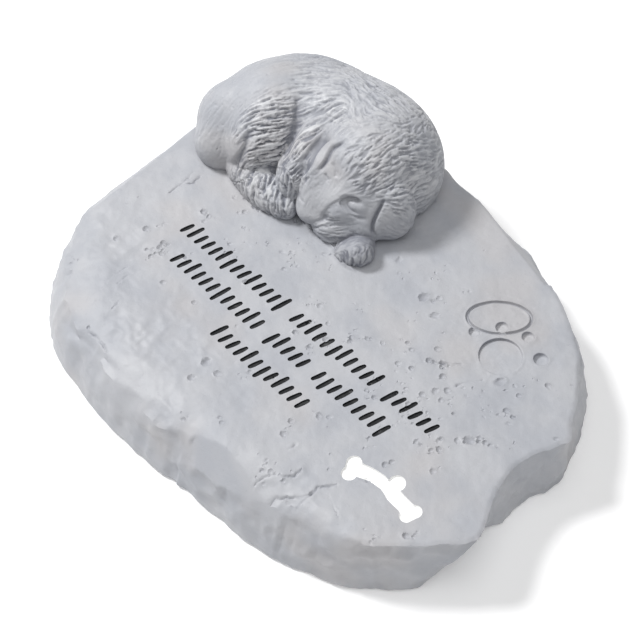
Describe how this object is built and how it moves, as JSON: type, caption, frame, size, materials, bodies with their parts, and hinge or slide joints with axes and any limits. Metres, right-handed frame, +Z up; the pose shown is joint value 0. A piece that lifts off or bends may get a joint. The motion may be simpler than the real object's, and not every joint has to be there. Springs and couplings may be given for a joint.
{
  "type": "pet memorial stone",
  "caption": "Irregular cast stone slab with a curled sleeping puppy, engraved strokes, a haloed paw print and a bone.",
  "frame": {"origin": "middle of the bounding box at the flat underside", "axes": "+X along the reading direction of the inscription, +Y from the inscription towards the puppy, +Z up"},
  "size_m": [0.2208, 0.1767, 0.0708],
  "materials": {
    "stone": "matt light grey cast stone with a faint blue cast, fine pits and hairline cracks"
  },
  "bodies": {
    "root": {"memorial_stone": "stone"}
  },
  "joints": []
}
